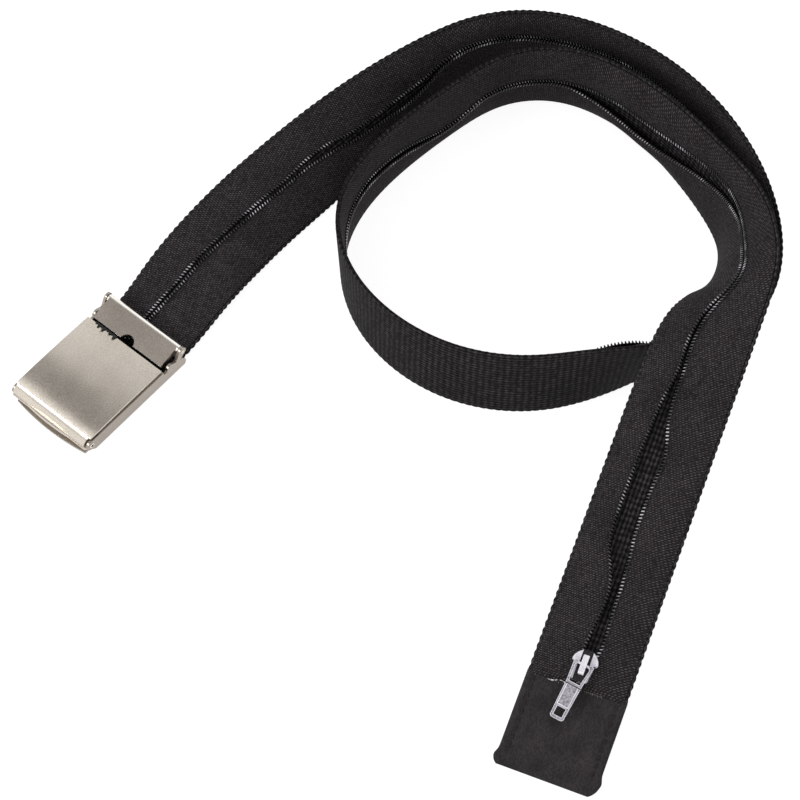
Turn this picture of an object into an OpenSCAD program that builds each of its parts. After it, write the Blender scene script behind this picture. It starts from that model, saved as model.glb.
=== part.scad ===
// Travel belt with a zip pocket along its inner face and a flip-top clamp buckle.
// It lies as photographed: flat at the buckle, on its edge round the loop, flat at the tail.
// The buckle's base rests on z = 0 with its middle at the origin, and the strap leaves along +X.

/* [Strap] */
// How far the laid strap reaches from the buckle's middle
reach = 251; // [251:1:290]
// Width of the strap
strap_w = 38; // [36:0.5:40]
// Thickness of the outer webbing
web_t = 1.4; // [1:0.1:1.8]
// How far the webbing's edge stands out past the zip tapes
selvedge = 1.2; // [0.8:0.1:2]
// Length of the plain fabric cover at the tip
tip_cover_l = 35.5; // [30:0.5:40]
// Thickness of the tip cover
tip_cover_t = 0.6; // [0.4:0.1:1]
// Length of the stitched bar across the end of the zip
stop_l = 20; // [12:1:28]
// Width of the stitched bar
stop_w = 1.4; // [0.8:0.1:2]
// Height of the stitched bar
stop_t = 0.4; // [0.2:0.1:0.8]

/* [Zip] */
// Thickness of the zip tapes
tape_t = 0.5; // [0.4:0.05:0.7]
// Width of one coil row
coil_w = 1.8; // [1.4:0.1:2.2]
// Height of one coil row
coil_h = 1.7; // [1.4:0.1:2]
// Half the space between the rows where the chain is closed
closed_gap = 0.1; // [0.05:0.05:0.2]
// Room under the tapes for the slider and the pocket
pouch = 2; // [1.9:0.1:3]

/* [Slider] */
// Distance from the tip cover to the slider's narrow end when the zip is open
slider_gap = 1; // [0.6:0.1:4]
// Length of the slider
slider_l = 12; // [11:0.5:13]
// Thickness of the slider's plates
plate_t = 1; // [0.8:0.05:1.1]
// Thickness of the slider's side flanges
flange_t = 0.7; // [0.5:0.05:0.8]
// Width of the crown over the slider
crown_w = 2.2; // [1.6:0.1:2.6]
// Thickness of the crown
crown_t = 0.7; // [0.5:0.05:0.9]
// Length of the pull tab from its bar
tab_l = 22; // [19:0.5:28]
// Width of the pull tab over its bar
tab_w = 7.8; // [7:0.1:8.4]
// Width of the pull tab where its grip starts
tab_neck_w = 6.2; // [5.6:0.1:7]
// Width of the pull tab at its end
tab_end_w = 5.4; // [5:0.1:6]
// Width of the tab's two arms
tab_arm_w = 0.95; // [0.8:0.05:1.1]
// Thickness of the pull tab
tab_t = 1.1; // [0.9:0.05:1.3]
// Size of the square window at the tab's end
tab_window = 3.4; // [2:0.1:3.6]
// Angle at which the tab lies back past level
tab_lie = 5; // [0:0.5:6]

/* [Buckle] */
// Thickness of the frame's steel
frame_t = 1.2; // [1:0.1:1.5]
// Room at each side of the strap in the frame
strap_side_gap = 0.6; // [0.5:0.1:1.2]
// Length of the flip cover from its hinge
cover_l = 40.7; // [34:0.1:41]
// Thickness of the flip cover and of the end clip
sheet_t = 1.1; // [0.8:0.05:1.2]
// Radius of the crown on the flip cover
cover_crown_r = 600; // [400:10:1200]
// Overhang of the cover over the frame's inner faces
cover_over = 0.6; // [0.2:0.1:1.2]
// Radius of the rolled cam at the cover's hinge
cam_r = 3.4; // [3:0.1:3.8]
// Height of the cam's teeth
cam_tooth = 0.5; // [0.3:0.1:0.7]
// Room left under the cam's teeth for webbing
cam_gap = 0.7; // [0.5:0.1:1.2]
// Radius of the hinge pins
pin_r = 1.1; // [0.8:0.05:1.2]
// Number of gripping teeth on the cam
cam_teeth = 12; // [6:1:14]
// Radius of the rolled edge on the end clip
clip_tube_r = 1.75; // [1.5:0.05:1.9]
// Radius of the pin in the rolled edge
clip_pin_r = 0.7; // [0.5:0.05:0.8]
// Radius of the pry notch in the end clip
notch_r = 3.4; // [2:0.1:4]
// Number of teeth on each side of the clip's comb
clip_teeth = 6; // [3:1:7]

/* [Hidden] */
$fn = 64;
// clearances
run_gap = 0.3;
pin_gap = 0.05;
seat_gap = 0.02;
lay_gap = 0.05;
slider_at = tip_cover_l + slider_gap + slider_l / 2;
// the strap lies on the frame's base in the buckle, and climbs over itself at the crossing
bed = frame_t + web_t / 2 + 0.1;
rise = strap_w + 1;
tip_z = web_t / 2 + 0.3;
fall = (rise - tip_z) / 5;
// route of the strap's middle: across, away, lean of the strap in degrees (0 flat, 90 on edge), lift
route = [
  [-12, 0, 0, bed], [10, 0, 0, bed], [32, 0, 0, bed], [54, 2.5, 8, 4.5],
  [76, 4, 17, 2], [98, 4, 25, 0.8], [120, 2, 32, 0.5], [142, -1, 45, 0.3],
  [165, -4, 60, 0], [190, -8, 75, 0], [216, -14, 87, 0], [236, -30, 92, 0],
  [247, -52, 92, 0], [251, -77, 90, 0], [249, -101, 86, 0], [242, -124, 81, 0],
  [231, -146, 78, 0], [216, -165, 75, 0], [198, -179, 69, 0], [177, -185, 60, 0],
  [156, -180, 63, 0], [135, -168, 78, 0], [114, -153, 92, 0], [97, -139, 93, 0],
  [84, -119, 93, 0], [78, -95, 92, 0], [80, -70, 90, 0], [90, -48, 88, 0],
  [107, -32, 88, 0], [130, -25, 90, 0], [156, -25, 92, 0], [183, -29, 94, 0],
  [210, -34, 95, 0], [228, -50, 93, 0], [235, -72, 90, 0], [235, -96, 86, 0],
  [230, -119, 81, 0], [223, -139, 76, 0.02 * rise], [212, -157, 70, 0.18 * rise],
  [196, -170, 60, 0.41 * rise], [176, -180, 44, 0.72 * rise], [153, -183, 16, 0.98 * rise],
  [130, -190, 0, rise], [100, -200, 0, rise - fall], [70, -210, 0, rise - 2 * fall],
  [40, -220, 0, rise - 3 * fall], [10, -230, 0, rise - 4 * fall], [-20, -240, 0, tip_z],
  [-50, -250, 0, tip_z - fall]];
// half the zip's mouth by distance from the tip
mouth = [
  [0, 0], [slider_at - 6, 0], [slider_at - 2, 0.35], [slider_at + 4, 1.7], [slider_at + 9, 2.2],
  [slider_at + 17, 1.6], [slider_at + 24, 1], [slider_at + 28, 0.9], [slider_at + 36, 1.6],
  [slider_at + 46, 3.4], [128, 3.4], [140, 2], [150, 1], [162, 0.2], [245, 0.1], [254, 0.9],
  [262, 1.5], [274, 2.2], [285, 2.8], [298, 3.4], [310, 4], [322, 4.2], [336, 3.6], [350, 2],
  [362, 0.2], [405, 0.1], [428, 0.5], [440, 1.3], [455, 1.5], [475, 1.3], [490, 1], [505, 0.4],
  [600, 0.5], [632, 1.2], [645, 1.8], [658, 1.8], [672, 0.8], [700, 0.3], [930, 0.1], [941, 0.3],
  [946, 1.2], [955, 1.7], [964, 1.7], [973, 1.2], [985, 0.9], [1000, 1], [1012, 0.6], [1022, 0.1],
  [1140, 0.1]];
// how far the mouth wanders toward the strap's upper edge
wander = [
  [0, 0], [44, 0], [47, 0.4], [52, 1], [60, 1.2], [70, 1.2], [76, 0.8], [82, -0.6], [90, -2.6],
  [98, -3.4], [131, -3.4], [140, -4.2], [149, -4.4], [162, -3.6], [176, -4.2], [186, -3.6],
  [194, -1.5], [202, 1.5], [210, 3.6], [216, 4], [230, 3.6], [247, 4.6], [262, 5.2], [274, 4.6],
  [285, 3], [298, 0], [310, -2.6], [322, -3.4], [336, -3], [350, -2.2], [362, -1.4], [394, -1],
  [402, -1.6], [408, -4.2], [417, -7], [426, -6.8], [435, -4.4], [444, -1.6], [455, 0.6],
  [470, 2.4], [485, 2.4], [510, 0], [615, 0], [632, 5], [645, 9.4], [658, 9.4], [672, 4],
  [690, 0.5], [720, 1], [800, 2], [860, 3.4], [890, 4.2], [899, 5], [917, 5.6], [928, 5],
  [937, 3.2], [941, 2], [946, -0.4], [955, -2.2], [964, -2.8], [980, -2.6], [990, -1.8],
  [1000, 0.4], [1012, 1.3], [1026, 0.6], [1050, 1], [1070, 2], [1088, 2.2], [1097, 3],
  [1107, 3.6], [1140, 3.6]];
// share of the pouch that is left where the buckle presses the tapes down
mouth_room = 0.25;
// room under the tapes by distance from the tip, as a share of the pouch
pouch_at = [
  [0, 1], [140, 1], [180, 0.6], [235, 0.9], [270, 0.9], [300, 1.6], [322, 2], [340, 1.6],
  [362, 0.9], [440, 0.6], [520, 0.5], [600, 0.8], [625, 0.8], [640, 1.8], [662, 1.8], [680, 0.8],
  [700, 0.6], [860, 0.5], [920, 1], [1000, 0.5], [1070, mouth_room], [1140, mouth_room]];
// width of the level strip along each tape's inner edge, kept wide where the slider runs
flat_at = [[0, 5], [150, 5], [190, 2.5], [1140, 2.5]];
// rings along each span of the route, with more where the strap twists over itself and in its tail
span_rings = 3;
tail_rings = 6;
tail_spans = 9;

// strap stations, with the route drawn out to its reach
function place(i) = let (p = route[i], k = reach / 251) [k * p[0], k * p[1], p[2], p[3]];
spans = len(route) - 3;
function blend(t) = [pow(1 - t, 3), 3 * pow(t, 3) - 6 * t * t + 4,
  -3 * pow(t, 3) + 3 * t * t + 3 * t + 1, pow(t, 3)] / 6;
function station(u) = let (i = min(floor(u), spans - 1), b = blend(u - i))
  b[0] * place(i) + b[1] * place(i + 1) + b[2] * place(i + 2) + b[3] * place(i + 3);
function middle(u) = let (s = station(u)) [s[0], s[1], s[3] + strap_w / 2 * sin(s[2])];
function unit(v) = v / norm(v);
// frame of the strap: place, direction along, direction across, direction out of the zip side
function strap_frame(u) = let (
    a = middle(max(u - 0.02, 0)), c = middle(min(u + 0.02, spans)), t = unit(c - a),
    h = unit([-t[1], t[0], 0]), up = cross(t, h), lean = station(u)[2],
    w = cos(lean) * h + sin(lean) * up)
  [middle(u), t, w, cross(t, w)];
params = concat(
  [for (i = [0 : (spans - tail_spans) * span_rings - 1]) i / span_rings],
  [for (i = [0 : tail_spans * tail_rings]) spans - tail_spans + i / tail_rings]);
rings = [for (u = params) strap_frame(u)];
last = len(rings) - 1;
run = [for (i = 0, d = 0; i <= last;
  d = d + (i < last ? norm(rings[i + 1][0] - rings[i][0]) : 0), i = i + 1) d];
strap_l = run[last];
// distance from the tip of each ring
back = [for (d = run) strap_l - d];

// straight tail: its tip, heading and pitch
tip = middle(spans);
tail_dir = unit(rings[last - tail_rings][0] - tip);
tail_heading = atan2(tail_dir[1], tail_dir[0]);
tail_pitch = asin(tail_dir[2]);
module on_tail(from_tip, height = 0) {
  translate(tip + from_tip * tail_dir)
    rotate([0, -tail_pitch, tail_heading])
      translate([0, 0, height]) children();
}

// sweep a closed outline of [across, out] points, one outline per ring
module sweep(outlines, first, end) {
  n = len(outlines[first]);
  m = end - first;
  points = [for (i = [first : end]) for (p = outlines[i])
    rings[i][0] + p[0] * rings[i][2] + p[1] * rings[i][3]];
  sides = [for (i = [0 : m - 1]) for (j = [0 : n - 1]) let (k = (j + 1) % n)
    each [[i * n + j, (i + 1) * n + j, (i + 1) * n + k], [i * n + j, (i + 1) * n + k, i * n + k]]];
  caps = [for (j = [1 : n - 2]) each [[0, j, j + 1], [m * n, m * n + j + 1, m * n + j]]];
  polyhedron(points, concat(sides, caps), convexity = 10);
}

// strap sections
face = web_t / 2;
edge = strap_w / 2;
bevel = web_t / 2;
web_half = [-edge + bevel, -edge / 2, 0, edge / 2, edge - bevel];
function web_outline() = concat([[-edge, 0]], [for (x = web_half) [x, -face]],
  [[edge, 0]], [for (x = web_half) [-x, face]]);
function room(d) = pouch * lookup(d, pouch_at);
function row_at(d) = lookup(d, mouth) + closed_gap + coil_w / 2;
tape_edge = edge - selvedge;
function tape_outline(d, side) = let (
    v = row_at(d) + coil_w / 2 + lay_gap + side * lookup(d, wander), low = face + lay_gap,
    h = low + room(d), flat = v + lookup(d, flat_at))
  [[tape_edge, low], [tape_edge, low + tape_t], [flat, h + tape_t],
   [v, h + tape_t], [v, h], [flat, h]];
function coil_outline(d, side) = let (
    v = row_at(d) + side * lookup(d, wander), h = face + lay_gap + room(d) + tape_t / 2,
    a = coil_w / 2, c = coil_w / 4, lo = -0.35 * coil_h, hi = 0.65 * coil_h)
  [[v + a, h + (lo + hi) / 2], [v + c, h + hi], [v - c, h + hi],
   [v - a, h + (lo + hi) / 2], [v - c, h + lo], [v + c, h + lo]];
function flip(o) = [for (i = [len(o) - 1 : -1 : 0]) [-o[i][0], o[i][1]]];

// first ring past the buckle's end of the zip, and last ring before the tip cover
zip_start = 8;
zip_end = tip_cover_l + 1;
zip_first = [for (i = [0 : last]) if (run[i] >= zip_start) i][0];
zip_rings = [for (i = [0 : last]) if (back[i] >= zip_end) i];
zip_last = zip_rings[len(zip_rings) - 1];

module outer_webbing() {
  color("#1d1b1c") sweep([for (d = back) web_outline()], 0, last);
}
module zip_tape_left() {
  color("#2a2829") sweep([for (d = back) tape_outline(d, 1)], zip_first, zip_last);
}
module zip_tape_right() {
  color("#2a2829") sweep([for (d = back) flip(tape_outline(d, -1))], zip_first, zip_last);
}
module coil_left() {
  color("#3a3a3d") sweep([for (d = back) coil_outline(d, 1)], zip_first, zip_last);
}
module coil_right() {
  color("#3a3a3d") sweep([for (d = back) flip(coil_outline(d, -1))], zip_first, zip_last);
}

// plain cover folded round the strap's tip, with a round hem
module tip_cover() {
  hem_r = (web_t + tip_cover_t + 2 * lay_gap) / 2;
  color("#201e1f") {
    on_tail(0, face + lay_gap)
      translate([lay_gap, -tape_edge, 0]) cube([tip_cover_l, 2 * tape_edge, tip_cover_t]);
    on_tail(0, face + lay_gap + tip_cover_t - hem_r)
      difference() {
        translate([0, tape_edge, 0]) rotate([90, 0, 0]) cylinder(r = hem_r, h = 2 * tape_edge);
        translate([-lay_gap, -edge, -2 * hem_r]) cube([2 * hem_r, 2 * edge, 3 * hem_r - tip_cover_t]);
      }
  }
}
module stop_stitch() {
  color("#4a4748") on_tail(tip_cover_l - stop_w - 0.4, face + lay_gap + tip_cover_t + seat_gap)
    translate([0, -stop_l / 2, 0]) cube([stop_w, stop_l, stop_t]);
}

// zip slider, in its own frame: +X up the tail, z = 0 in the middle of the tapes
tape_mid = face + lay_gap + pouch + tape_t / 2;
chan_lo = -(0.35 * coil_h + run_gap);
chan_hi = 0.65 * coil_h + run_gap;
top_z = chan_hi + plate_t;
slot = tape_t / 2 + run_gap;
nose = slider_l / 2;
shoulder = 2.1 + coil_w + run_gap + flange_t;
heel = closed_gap + coil_w + run_gap + 0.1 + flange_t;
// half of the slider's outline, from its nose round one wing to its heel
wing = [[nose, 1], [nose - 0.5, 2.1], [nose - 1.6, 3.5], [nose - 3, shoulder - 0.4],
  [nose - 4.4, shoulder], [nose - 5, shoulder - 0.2], [nose - 5.4, heel + 0.8],
  [-nose + 3, heel + 0.3], [-nose + 0.6, heel], [-nose, heel - 0.6]];
core = [[nose + 1, shoulder - flange_t - 0.1], [nose - 2, shoulder - flange_t - 0.2],
  [nose - 5, heel + 0.1], [-nose + 4, heel - flange_t + 0.5], [-nose - 1, heel - flange_t]];
function both(h) = concat(h, [for (i = [len(h) - 1 : -1 : 0]) [h[i][0], -h[i][1]]]);
module slider_outline() {
  polygon(both(wing));
}
module slider_core() {
  polygon(both(core));
}
module slider_side(z0, z1) {
  translate([0, 0, z0]) linear_extrude(z1 - z0)
    difference() {
      slider_outline();
      slider_core();
      translate([nose - 2.4, -shoulder]) square([4, 2 * shoulder]);
    }
}
spring_w = 1.4;
spring_t = 0.3;
spring_l = 5;
crown_reach = 3.7;
module slider_body() {
  color("#b9b6c2") on_tail(slider_at, tape_mid)
    difference() {
      union() {
        translate([0, 0, chan_hi]) linear_extrude(plate_t) slider_outline();
        translate([0, 0, chan_lo - plate_t]) linear_extrude(plate_t) slider_outline();
        slider_side(slot, chan_hi + 0.1);
        slider_side(chan_lo - 0.1, -slot);
        translate([0, 0, chan_lo - 0.1]) linear_extrude(chan_hi - chan_lo + 0.2)
          polygon([[nose - 4.6, 0], [nose - 0.7, 1.2], [nose - 0.2, 0], [nose - 0.7, -1.2]]);
      }
      translate([-spring_l / 2 - 0.2, -spring_w / 2 - 0.2, chan_hi - 0.1])
        cube([0.9, spring_w + 0.4, plate_t + 0.2]);
    }
}
// bridge that holds the tab's bar
bar_r = 0.5;
bar_z = top_z + spring_t + 0.2 + run_gap + bar_r;
crown_in = bar_z + bar_r + run_gap;
module slider_crown() {
  rise = crown_in + crown_t - top_z - seat_gap;
  color("#c8c5cf") on_tail(slider_at, tape_mid + top_z + seat_gap)
    translate([0, crown_w / 2, 0]) rotate([90, 0, 0]) linear_extrude(crown_w)
      difference() {
        union() {
          translate([-crown_reach, 0]) square([2 * crown_reach, rise - 0.8]);
          translate([-crown_reach + 0.8, 0]) square([2 * crown_reach - 1.6, rise]);
          for (s = [-1, 1]) translate([s * (crown_reach - 0.8), rise - 0.8]) circle(r = 0.8);
        }
        translate([-crown_reach + crown_t, -1]) square([2 * (crown_reach - crown_t), rise - crown_t + 1]);
      }
}
// leaf under the crown whose tooth drops through the slider's top plate
module lock_spring() {
  color("#a7a4ac") on_tail(slider_at, tape_mid + top_z + seat_gap)
    translate([0, spring_w / 2, 0]) rotate([90, 0, 0]) linear_extrude(spring_w)
      union() {
        translate([-spring_l / 2, 0]) square([spring_l, spring_t]);
        translate([-spring_l / 2, -plate_t - 0.1]) square([0.5, plate_t + 0.1 + spring_t]);
      }
}
// pull tab, lying back toward the tip and turned a little to one side
tab_turn = 8;
eye_l = 2 * crown_reach;
grip_x = -eye_l - 1.2;
window_x = -tab_l + 1.2;
module tab_shape() {
  boss = tab_arm_w;
  difference() {
    union() {
      polygon([[0, tab_w / 2], [-eye_l, tab_neck_w / 2], [-tab_l + 1, tab_end_w / 2],
        [-tab_l + 1, -tab_end_w / 2], [-eye_l, -tab_neck_w / 2], [0, -tab_w / 2]]);
      for (s = [-1, 1]) translate([0, s * (tab_w / 2 - boss)]) circle(r = boss);
      for (s = [-1, 1]) translate([-tab_l + 1, s * (tab_end_w / 2 - 1)]) circle(r = 1);
      translate([-tab_l, -tab_end_w / 2 + 1]) square([1.5, tab_end_w - 2]);
    }
    polygon([[2, tab_w / 2 - 2 * boss], [0, tab_w / 2 - 2 * boss], [-1.2, tab_w / 2 - tab_arm_w - 0.15],
      [-eye_l, tab_neck_w / 2 - tab_arm_w], [-eye_l, -tab_neck_w / 2 + tab_arm_w],
      [-1.2, -tab_w / 2 + tab_arm_w + 0.15], [0, -tab_w / 2 + 2 * boss], [2, -tab_w / 2 + 2 * boss]]);
    translate([window_x, -tab_window / 2]) square([tab_window, tab_window]);
  }
}
module pull_tab() {
  pad_x = window_x + tab_window + 0.7;
  color("#aaa8b4") on_tail(slider_at, tape_mid + bar_z) rotate([0, -tab_lie, -tab_turn]) {
    translate([0, 0, -tab_t / 2]) linear_extrude(tab_t) tab_shape();
    translate([pad_x, -tab_end_w / 2 + 0.5, tab_t / 2 - 0.1]) cube([grip_x - pad_x, tab_end_w - 1, 0.3]);
    translate([0, tab_w / 2 - 0.4, 0]) rotate([90, 0, 0]) cylinder(r = bar_r, h = tab_w - 0.8);
  }
}

// buckle sizes
inner = strap_w / 2 + strap_side_gap;
outer = inner + frame_t;
ear_y = inner - run_gap;
// hinges of the flip cover and of the end clip, seen from the side
cover_hinge = [-27, frame_t + cam_gap + cam_tooth + cam_r];
strap_top = bed + face + lay_gap + tape_t + pouch * mouth_room;
lip_r = cam_r + 0.2;
lip_c = [cover_hinge[0] + 0.4, cover_hinge[1] + 0.3];
cover_top = lip_c[1] + lip_r + 0.3;
cover_end = cover_hinge[0] + cover_l;
cover_sag = pow(cover_l / 2, 2) / (2 * cover_crown_r);
wall_h = cover_top - cover_sag - sheet_t - run_gap - 0.15;
ear_r = wall_h - cover_hinge[1] + 0.15;
clip_hinge = [25.4, cover_top + 0.6];
end_r = 3;
end_c = [23.6, 3.4];
tongue_c = [18.2, wall_h - 1.2];
tongue_r = 2;
clip_ear_r = clip_tube_r + 0.2;
frame_end = end_c[0] + 1.6;
module side_on(y, t) {
  translate([0, y + t, 0]) rotate([90, 0, 0]) linear_extrude(t) children();
}
// two round ends joined by a band that touches both
module joined(c1, r1, c2, r2) {
  d = c2 - c1;
  a = atan2(d[1], d[0]);
  k = acos((r1 - r2) / norm(d));
  p = [for (s = [-1, 1]) [cos(a + s * k), sin(a + s * k)]];
  polygon([c1 + r1 * p[0], c2 + r2 * p[0], c2 + r2 * p[1], c1 + r1 * p[1]]);
  translate(c1) circle(r = r1);
  translate(c2) circle(r = r2);
}
// one side wall of the frame, seen from the side
module wall_shape() {
  dip = cover_end + 0.5;
  union() {
    polygon([[-24, 0], [cover_hinge[0] - ear_r + 0.2, cover_hinge[1] - 0.9], cover_hinge,
      [cover_hinge[0], cover_hinge[1] + 1], [-24, wall_h]]);
    translate(cover_hinge) circle(r = ear_r);
    translate([-24.1, 0]) square([dip + 24.1, wall_h]);
    translate([cover_hinge[0], wall_h - 1]) square([4, 1]);
    difference() {
      translate([dip - 0.1, 0]) square([tongue_c[0] - dip + 0.1, wall_h]);
      translate([dip + 1.2, wall_h]) circle(r = 1.6);
    }
    // tongue at the far end, falling to a round tip
    joined(tongue_c, tongue_r, end_c, end_r);
    polygon([[tongue_c[0] - 1, 0], [frame_end, 0], [end_c[0] + end_r, end_c[1]], end_c, tongue_c,
      [tongue_c[0] - 1, tongue_c[1]]]);
    // lug that reaches up from the tongue to the clip's pin
    joined([clip_hinge[0] - 3.2, wall_h - 1.1], 0.9, clip_hinge, clip_ear_r);
  }
}
module u_shape() {
  r_out = frame_t + 0.5;
  difference() {
    union() {
      translate([-outer, r_out]) square([2 * outer, 12]);
      translate([-outer + r_out, 0]) square([2 * (outer - r_out), 12]);
      for (s = [-1, 1]) translate([s * (outer - r_out), r_out]) circle(r = r_out);
    }
    translate([-inner, frame_t + 0.5]) square([2 * inner, 20]);
    translate([-inner + 0.5, frame_t]) square([2 * inner - 1, 20]);
    for (s = [-1, 1]) translate([s * (inner - 0.5), frame_t + 0.5]) circle(r = 0.5);
  }
}
base_bow = 1.8;
bow_r = (inner * inner + base_bow * base_bow) / (2 * base_bow);
module buckle_frame() {
  color("#b5ada4") difference() {
    union() {
      intersection() {
        rotate([90, 0, 90]) translate([0, 0, -40]) linear_extrude(80) u_shape();
        union() {
          side_on(-30, 60) wall_shape();
          translate([-26, -inner, -1]) cube([frame_end + 26, 2 * inner, frame_t + 2]);
        }
      }
      linear_extrude(frame_t) intersection() {
        translate([-40, -inner + 1]) square([20, 2 * inner - 2]);
        translate([cover_hinge[0] - cam_r - 0.7 + bow_r, 0]) circle(r = bow_r, $fn = 180);
      }
    }
    side_on(-30, 60) translate(cover_hinge) circle(r = pin_r + seat_gap);
    side_on(-30, 60) translate(clip_hinge) circle(r = clip_pin_r + seat_gap);
  }
}
// hinge pins run right across the frame, with their heads just outside its walls
module pin(h, r) {
  translate([h[0], outer + 0.3, h[1]]) rotate([90, 0, 0]) cylinder(r = r, h = 2 * outer + 0.6);
}
module cover_pin() {
  color("#d0ccc6") pin(cover_hinge, pin_r);
}
module clip_pin() {
  color("#d0ccc6") pin(clip_hinge, clip_pin_r);
}
// flip cover: crowned plate, rolled hinge end with a toothed cam, two ears
module ring_part(c, ro, a0, a1) {
  translate(c) intersection() {
    difference() {
      circle(r = ro);
      circle(r = ro - sheet_t);
    }
    polygon(concat([[0, 0]], [for (k = [0 : 6]) let (a = a0 + (a1 - a0) * k / 6) 3 * ro * [cos(a), sin(a)]]));
  }
}
module cover_plate_shape(x0) {
  intersection() {
    translate([(cover_end + lip_c[0]) / 2, cover_top - cover_crown_r]) difference() {
      circle(r = cover_crown_r, $fn = 360);
      circle(r = cover_crown_r - sheet_t, $fn = 360);
    }
    translate([x0, 5]) square([cover_end - x0, 20]);
  }
}
module flip_cover() {
  lid_y = inner + cover_over;
  pitch = 2 * (ear_y - 2) / cam_teeth;
  color("#c3bbb1") difference() {
    union() {
      side_on(-lid_y, 2 * lid_y) cover_plate_shape(lip_c[0] - 0.2);
      side_on(-ear_y, 2 * ear_y) union() {
        ring_part(lip_c, lip_r, 86, 184);
        ring_part(cover_hinge, cam_r, 172, 290);
      }
      // bowed face of the rolled end, over the throat
      translate([cover_hinge[0], 0, cover_hinge[1] - 0.9]) linear_extrude(2) intersection() {
        translate([bow_r - cam_r - 0.45, 0]) circle(r = bow_r, $fn = 180);
        translate([-cam_r - 1, -ear_y]) square([1.9, 2 * ear_y]);
      }
      for (s = [-1, 1]) side_on(s > 0 ? ear_y - sheet_t : -ear_y, sheet_t) union() {
        translate(cover_hinge) circle(r = ear_r);
        polygon([[cover_hinge[0] - 1, cover_hinge[1]], [cover_hinge[0] + ear_r, cover_hinge[1]],
          [cover_hinge[0] + ear_r + 4, cover_top - sheet_t + 0.1],
          [cover_hinge[0] - 0.4, lip_c[1] + lip_r - sheet_t + 0.3]]);
      }
      for (k = [0 : cam_teeth - 1])
        translate([cover_hinge[0] - 0.6, -ear_y + 2 + pitch * (k + 0.25), cover_hinge[1] - cam_r - cam_tooth])
          cube([1.2, pitch / 2, cam_tooth + 0.4]);
    }
    side_on(-30, 60) translate(cover_hinge) circle(r = pin_r + pin_gap);
  }
}
// end clip: sloped plate with a pry notch, hinged in its rolled edge, with a toothed comb under it
clip_y = strap_w / 2 - 0.5;
clip_edge = [cover_end + 1.2, cover_top - 0.3];
clip_span = norm(clip_hinge - clip_edge);
clip_slope = atan2(clip_hinge[1] - clip_edge[1], clip_hinge[0] - clip_edge[0])
  + asin(clip_tube_r / clip_span);
clip_l = sqrt(clip_span * clip_span - clip_tube_r * clip_tube_r);
comb_gap = 5;
module on_clip() {
  translate(clip_edge) rotate(clip_slope) children();
}
module end_clip() {
  comb_x = clip_hinge[0] - 2.6;
  comb_root = strap_top + 1.6;
  pitch = (clip_y - 1 - comb_gap) / clip_teeth;
  tube_y = inner - run_gap;
  color("#b0a89f") difference() {
    union() {
      side_on(-clip_y, 2 * clip_y) on_clip() translate([0, -sheet_t]) square([clip_l, sheet_t]);
      side_on(-tube_y, 2 * tube_y) translate(clip_hinge) circle(r = clip_tube_r);
      for (s = [-1, 1]) side_on(s > 0 ? clip_y - sheet_t : -clip_y, sheet_t)
        on_clip() polygon([[0.4, -0.2], [clip_l, -0.2], [clip_l - 0.5, -3], [1.8, -2.2]]);
      translate([comb_x, -clip_y + 0.2, comb_root])
        cube([sheet_t, 2 * clip_y - 0.4, clip_hinge[1] - 0.4 - comb_root]);
      for (s = [-1, 1]) for (k = [0 : clip_teeth - 1])
        side_on(s * (comb_gap + pitch * (k + 0.5)) - pitch / 2 + 0.15, pitch - 0.3)
          polygon([[comb_x, comb_root + 0.2], [comb_x + sheet_t, comb_root + 0.2],
            [comb_x + 0.3, strap_top + run_gap], [comb_x, strap_top + run_gap]]);
    }
    side_on(-30, 60) translate(clip_hinge) circle(r = clip_pin_r + pin_gap);
    translate([clip_edge[0] - 0.4, 0, 0]) cylinder(r = notch_r, h = 30);
  }
}

outer_webbing();
zip_tape_left();
zip_tape_right();
coil_left();
coil_right();
tip_cover();
stop_stitch();
slider_body();
slider_crown();
lock_spring();
pull_tab();
buckle_frame();
flip_cover();
cover_pin();
end_clip();
clip_pin();
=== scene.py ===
# %% [markdown]
# # A zipped webbing belt with a flip-top buckle
# The belt lies coiled once on a table, with its tail crossing over the coil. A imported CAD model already
# holds every size, place and moving body. This lesson gives each piece the surface that the eye expects:
# ribbed webbing, twill zip tapes, nylon teeth, satin nickel and bright zinc.

# %% Load the frame
import math

import bpy
import numpy as np
from mathutils import Matrix, Vector


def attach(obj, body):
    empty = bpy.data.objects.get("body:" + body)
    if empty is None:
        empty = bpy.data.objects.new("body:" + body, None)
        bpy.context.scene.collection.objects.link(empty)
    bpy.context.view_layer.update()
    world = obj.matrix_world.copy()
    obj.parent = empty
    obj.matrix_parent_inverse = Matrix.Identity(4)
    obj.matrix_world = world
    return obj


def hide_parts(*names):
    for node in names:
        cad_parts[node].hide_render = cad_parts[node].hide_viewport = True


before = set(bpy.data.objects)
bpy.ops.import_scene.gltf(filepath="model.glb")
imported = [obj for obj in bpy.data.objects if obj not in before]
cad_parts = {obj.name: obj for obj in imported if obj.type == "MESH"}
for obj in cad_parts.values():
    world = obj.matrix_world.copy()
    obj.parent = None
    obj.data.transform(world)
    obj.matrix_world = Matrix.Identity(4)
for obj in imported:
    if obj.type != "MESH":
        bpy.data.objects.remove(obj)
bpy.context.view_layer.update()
bpy.ops.object.select_all(action="DESELECT")

# %% [markdown]
# Shaders take linear colours, while colours read from a picture are sRGB. One function turns a hex value
# into a linear colour, one adds a node with its settings and links, one starts a material from the
# Principled shader, and one plugs finished patterns into that shader. With these a finish can be written
# as a short list.

# %% Colour and node helpers
def linear(hexcode):
    parts = [int(hexcode[i:i + 2], 16) / 255 for i in (1, 3, 5)]
    return [p / 12.92 if p <= 0.04045 else ((p + 0.055) / 1.055) ** 2.4 for p in parts] + [1.0]


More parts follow.
